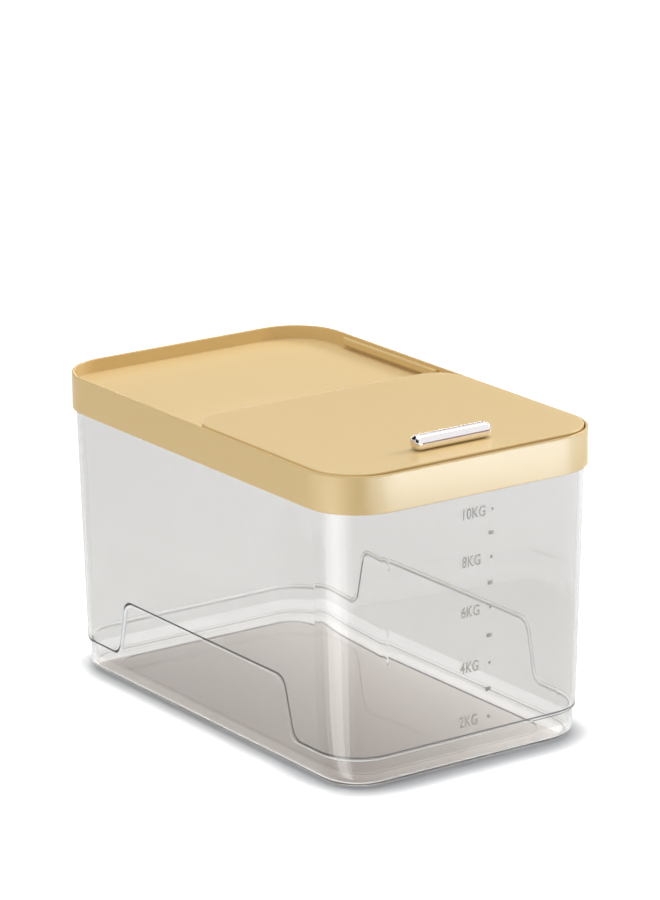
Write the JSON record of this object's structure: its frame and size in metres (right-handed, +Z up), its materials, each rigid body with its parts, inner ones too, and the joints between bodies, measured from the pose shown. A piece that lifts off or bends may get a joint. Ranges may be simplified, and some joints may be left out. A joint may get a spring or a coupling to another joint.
{
  "type": "rice dispenser",
  "caption": "Countertop grain bin: a clear tapered tub, a lift-off framed lid, and a front panel with a pull bar that slides back over the rear deck to open the lid.",
  "frame": {"origin": "centre of the bin's outline, on the surface that it stands on", "axes": "+Z up, +Y along the long side towards the rear, so the front with the scale faces -Y, and +X to the right seen from the front"},
  "size_m": [0.22, 0.356, 0.2285],
  "materials": {
    "clear_plastic": "clear, polished",
    "lid_plastic": "satin, butter yellow",
    "seal_rubber": "matt, translucent white",
    "handle_chrome": "polished plating",
    "screw_steel": "plain"
  },
  "bodies": {
    "tub": {"clear_tub": "clear_plastic"},
    "lid": {"lid_frame": "lid_plastic", "lid_seal": "seal_rubber"},
    "panel": {"panel_cover": "lid_plastic", "panel_runner_plate": "lid_plastic", "handle_bar": "handle_chrome", "handle_screws": "screw_steel"}
  },
  "joints": [
    {"name": "lid_lift", "type": "slide", "parent": "tub", "child": "lid", "axis": [0, 0, 1], "range_m": [0, 0.06]},
    {"name": "panel_slide", "type": "slide", "parent": "lid", "child": "panel", "axis": [0, 1, 0], "range_m": [0, 0.157]}
  ]
}
